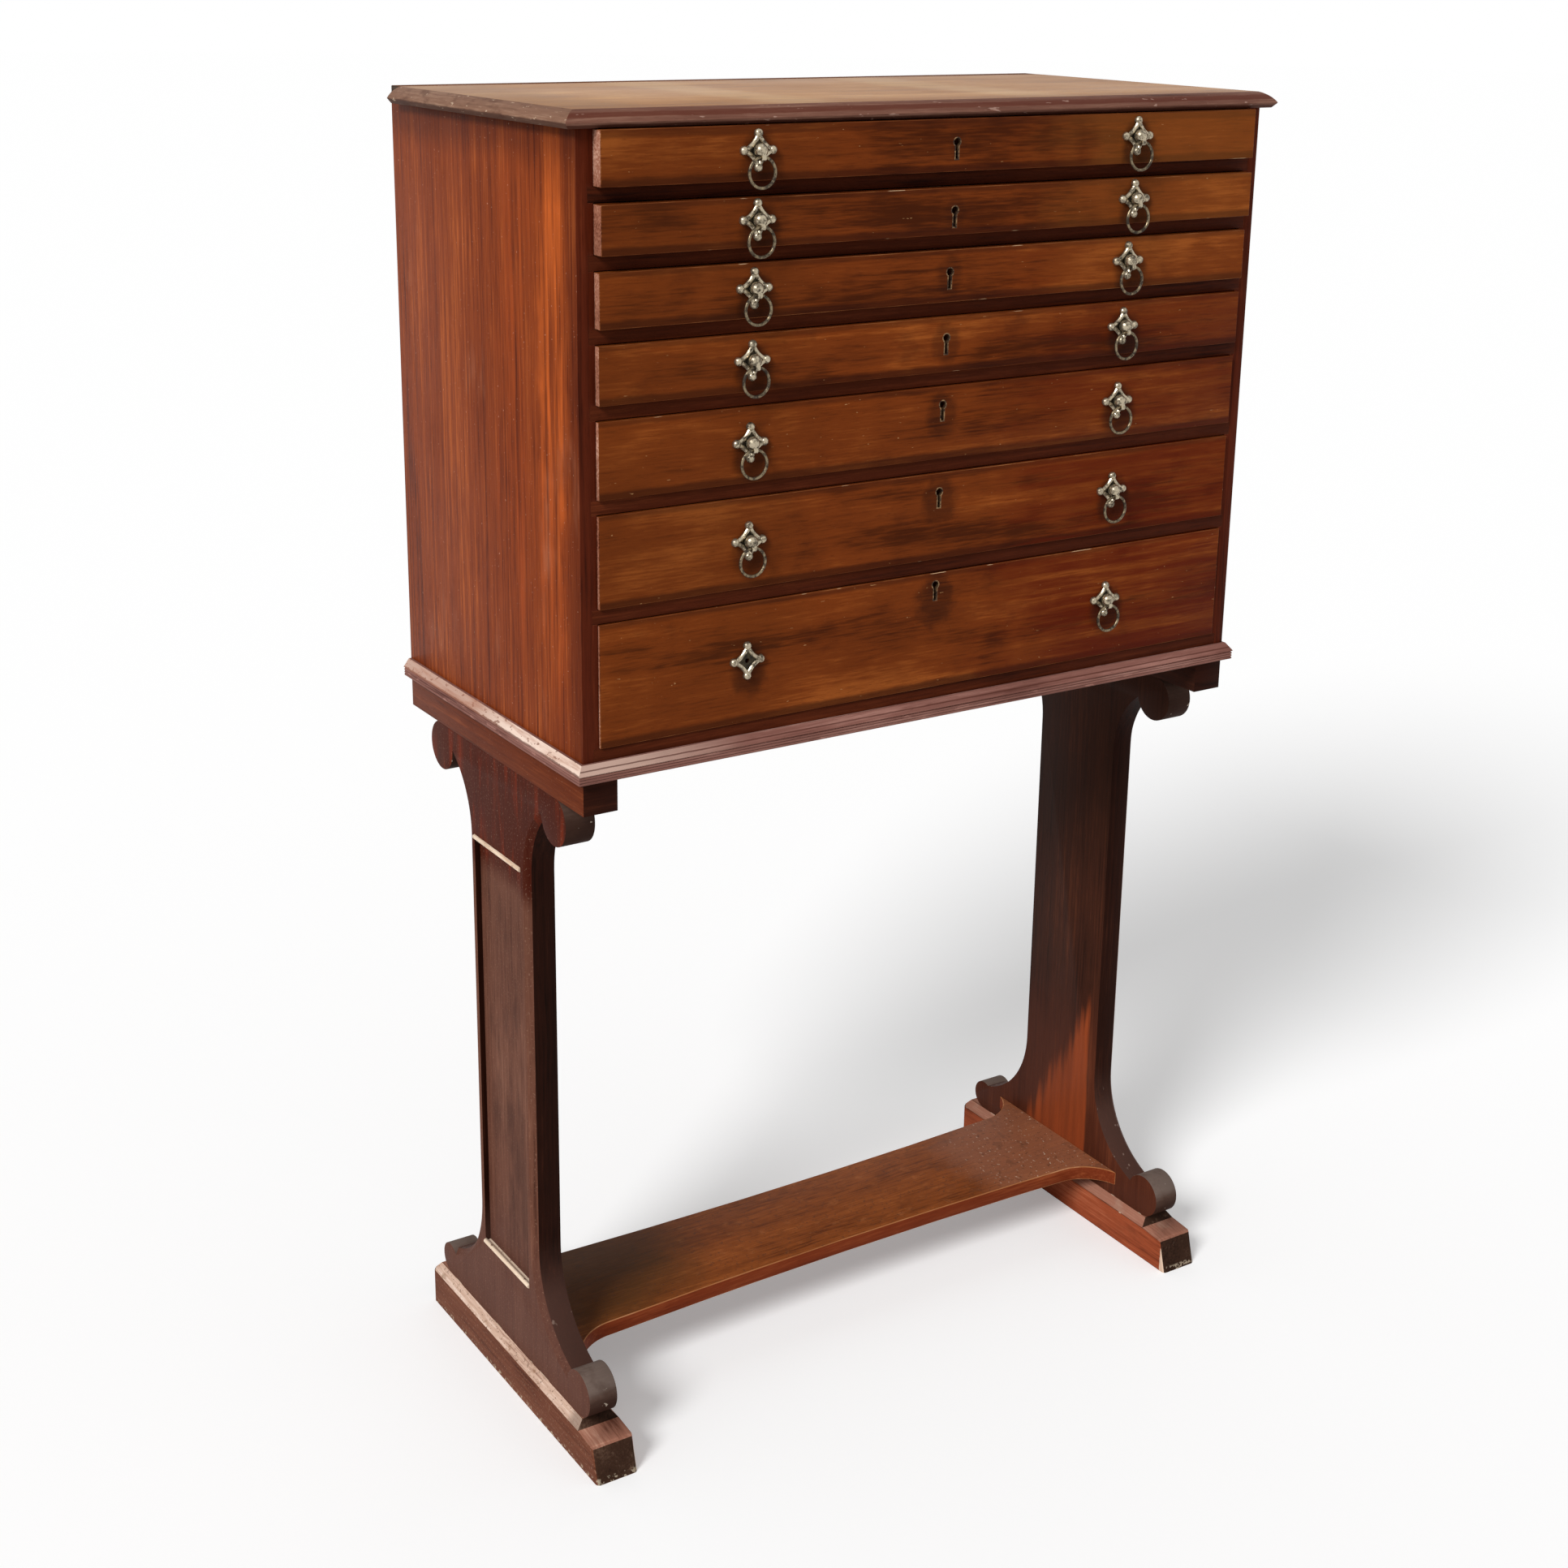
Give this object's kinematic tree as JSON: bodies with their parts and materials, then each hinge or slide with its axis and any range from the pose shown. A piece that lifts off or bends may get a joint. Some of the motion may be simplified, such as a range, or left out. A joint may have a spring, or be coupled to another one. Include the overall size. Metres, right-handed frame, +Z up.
{
  "type": "specimen cabinet on stand",
  "caption": "Mahogany collector's cabinet of graduated drawers with brass ring pulls, on an open trestle stand with scrolled uprights, sledge feet and a waisted shelf.",
  "frame": {"origin": "on the floor, at the middle of the overall width and depth at rest", "axes": "+Z up, -Y to the front of the drawers, +X to the right seen from the front"},
  "size_m": [0.726, 0.3676, 1.2],
  "materials": {
    "mahogany": "old waxed polish, worn at the edges",
    "drawer_mahogany": "old waxed polish",
    "secondary_wood": "bare, planed",
    "aged_brass": "aged, dull with bright rubbed edges",
    "screw_steel": "dark, dull"
  },
  "bodies": {
    "case": {"top_board": "mahogany", "case_side_left": "mahogany", "case_side_right": "mahogany", "case_back": "mahogany", "case_bottom": "mahogany", "divider_rails": "mahogany", "drawer_runners": "secondary_wood", "drawer_stops": "secondary_wood", "base_moulding_front": "mahogany", "base_moulding_left": "mahogany", "base_moulding_right": "mahogany", "bearer_left": "mahogany", "bearer_right": "mahogany", "upright_left": "mahogany", "upright_right": "mahogany", "foot_left": "mahogany", "foot_right": "mahogany", "shelf": "mahogany", "stand_screws": "screw_steel"},
    "drawer_1": {"drawer_1_front": "drawer_mahogany", "drawer_1_box": "secondary_wood", "drawer_1_fittings": "aged_brass"},
    "ring_1_left": {"ring_1_left": "aged_brass"},
    "ring_1_right": {"ring_1_right": "aged_brass"},
    "lock_bolt_1": {"drawer_1_lock_bolt": "aged_brass"},
    "drawer_2": {"drawer_2_front": "drawer_mahogany", "drawer_2_box": "secondary_wood", "drawer_2_fittings": "aged_brass"},
    "ring_2_left": {"ring_2_left": "aged_brass"},
    "ring_2_right": {"ring_2_right": "aged_brass"},
    "lock_bolt_2": {"drawer_2_lock_bolt": "aged_brass"},
    "drawer_3": {"drawer_3_front": "drawer_mahogany", "drawer_3_box": "secondary_wood", "drawer_3_fittings": "aged_brass"},
    "ring_3_left": {"ring_3_left": "aged_brass"},
    "ring_3_right": {"ring_3_right": "aged_brass"},
    "lock_bolt_3": {"drawer_3_lock_bolt": "aged_brass"},
    "drawer_4": {"drawer_4_front": "drawer_mahogany", "drawer_4_box": "secondary_wood", "drawer_4_fittings": "aged_brass"},
    "ring_4_left": {"ring_4_left": "aged_brass"},
    "ring_4_right": {"ring_4_right": "aged_brass"},
    "lock_bolt_4": {"drawer_4_lock_bolt": "aged_brass"},
    "drawer_5": {"drawer_5_front": "drawer_mahogany", "drawer_5_box": "secondary_wood", "drawer_5_fittings": "aged_brass"},
    "ring_5_left": {"ring_5_left": "aged_brass"},
    "ring_5_right": {"ring_5_right": "aged_brass"},
    "lock_bolt_5": {"drawer_5_lock_bolt": "aged_brass"},
    "drawer_6": {"drawer_6_front": "drawer_mahogany", "drawer_6_box": "secondary_wood", "drawer_6_fittings": "aged_brass"},
    "ring_6_left": {"ring_6_left": "aged_brass"},
    "ring_6_right": {"ring_6_right": "aged_brass"},
    "lock_bolt_6": {"drawer_6_lock_bolt": "aged_brass"},
    "drawer_7": {"drawer_7_front": "drawer_mahogany", "drawer_7_box": "secondary_wood", "drawer_7_fittings": "aged_brass"},
    "ring_7_right": {"ring_7_right": "aged_brass"},
    "lock_bolt_7": {"drawer_7_lock_bolt": "aged_brass"}
  },
  "joints": [
    {"name": "drawer_1_slide", "type": "slide", "parent": "case", "child": "drawer_1", "axis": [0, -1, 0], "range_m": [-0.01, 0.24]},
    {"name": "ring_1_left_swing", "type": "hinge", "parent": "drawer_1", "child": "ring_1_left", "pos_m": [-0.195, -0.1806, 1.161], "axis": [-1, 0, 0], "range_deg": [0, 90]},
    {"name": "ring_1_right_swing", "type": "hinge", "parent": "drawer_1", "child": "ring_1_right", "pos_m": [0.195, -0.1806, 1.161], "axis": [-1, 0, 0], "range_deg": [0, 90]},
    {"name": "lock_bolt_1_throw", "type": "slide", "parent": "drawer_1", "child": "lock_bolt_1", "axis": [0, 0, 1], "range_m": [0, 0.0045]},
    {"name": "drawer_2_slide", "type": "slide", "parent": "case", "child": "drawer_2", "axis": [0, -1, 0], "range_m": [-0.01, 0.24]},
    {"name": "ring_2_left_swing", "type": "hinge", "parent": "drawer_2", "child": "ring_2_left", "pos_m": [-0.195, -0.1806, 1.107], "axis": [-1, 0, 0], "range_deg": [0, 90]},
    {"name": "ring_2_right_swing", "type": "hinge", "parent": "drawer_2", "child": "ring_2_right", "pos_m": [0.195, -0.1806, 1.107], "axis": [-1, 0, 0], "range_deg": [0, 90]},
    {"name": "lock_bolt_2_throw", "type": "slide", "parent": "drawer_2", "child": "lock_bolt_2", "axis": [0, 0, 1], "range_m": [0, 0.0045]},
    {"name": "drawer_3_slide", "type": "slide", "parent": "case", "child": "drawer_3", "axis": [0, -1, 0], "range_m": [-0.006, 0.24]},
    {"name": "ring_3_left_swing", "type": "hinge", "parent": "drawer_3", "child": "ring_3_left", "pos_m": [-0.195, -0.1766, 1.0525], "axis": [-1, 0, 0], "range_deg": [0, 90]},
    {"name": "ring_3_right_swing", "type": "hinge", "parent": "drawer_3", "child": "ring_3_right", "pos_m": [0.195, -0.1766, 1.0525], "axis": [-1, 0, 0], "range_deg": [0, 90]},
    {"name": "lock_bolt_3_throw", "type": "slide", "parent": "drawer_3", "child": "lock_bolt_3", "axis": [0, 0, 1], "range_m": [0, 0.0045]},
    {"name": "drawer_4_slide", "type": "slide", "parent": "case", "child": "drawer_4", "axis": [0, -1, 0], "range_m": [-0.004, 0.24]},
    {"name": "ring_4_left_swing", "type": "hinge", "parent": "drawer_4", "child": "ring_4_left", "pos_m": [-0.195, -0.1746, 0.994], "axis": [-1, 0, 0], "range_deg": [0, 90]},
    {"name": "ring_4_right_swing", "type": "hinge", "parent": "drawer_4", "child": "ring_4_right", "pos_m": [0.195, -0.1746, 0.994], "axis": [-1, 0, 0], "range_deg": [0, 90]},
    {"name": "lock_bolt_4_throw", "type": "slide", "parent": "drawer_4", "child": "lock_bolt_4", "axis": [0, 0, 1], "range_m": [0, 0.0045]},
    {"name": "drawer_5_slide", "type": "slide", "parent": "case", "child": "drawer_5", "axis": [0, -1, 0], "range_m": [-0.002, 0.24]},
    {"name": "ring_5_left_swing", "type": "hinge", "parent": "drawer_5", "child": "ring_5_left", "pos_m": [-0.195, -0.1726, 0.926], "axis": [-1, 0, 0], "range_deg": [0, 90]},
    {"name": "ring_5_right_swing", "type": "hinge", "parent": "drawer_5", "child": "ring_5_right", "pos_m": [0.195, -0.1726, 0.926], "axis": [-1, 0, 0], "range_deg": [0, 90]},
    {"name": "lock_bolt_5_throw", "type": "slide", "parent": "drawer_5", "child": "lock_bolt_5", "axis": [0, 0, 1], "range_m": [0, 0.0045]},
    {"name": "drawer_6_slide", "type": "slide", "parent": "case", "child": "drawer_6", "axis": [0, -1, 0], "range_m": [-0.001, 0.24]},
    {"name": "ring_6_left_swing", "type": "hinge", "parent": "drawer_6", "child": "ring_6_left", "pos_m": [-0.195, -0.1716, 0.843], "axis": [-1, 0, 0], "range_deg": [0, 90]},
    {"name": "ring_6_right_swing", "type": "hinge", "parent": "drawer_6", "child": "ring_6_right", "pos_m": [0.195, -0.1716, 0.843], "axis": [-1, 0, 0], "range_deg": [0, 90]},
    {"name": "lock_bolt_6_throw", "type": "slide", "parent": "drawer_6", "child": "lock_bolt_6", "axis": [0, 0, 1], "range_m": [0, 0.0045]},
    {"name": "drawer_7_slide", "type": "slide", "parent": "case", "child": "drawer_7", "axis": [0, -1, 0], "range_m": [0, 0.24]},
    {"name": "ring_7_right_swing", "type": "hinge", "parent": "drawer_7", "child": "ring_7_right", "pos_m": [0.195, -0.1706, 0.739], "axis": [-1, 0, 0], "range_deg": [0, 90]},
    {"name": "lock_bolt_7_throw", "type": "slide", "parent": "drawer_7", "child": "lock_bolt_7", "axis": [0, 0, 1], "range_m": [0, 0.0045]}
  ]
}
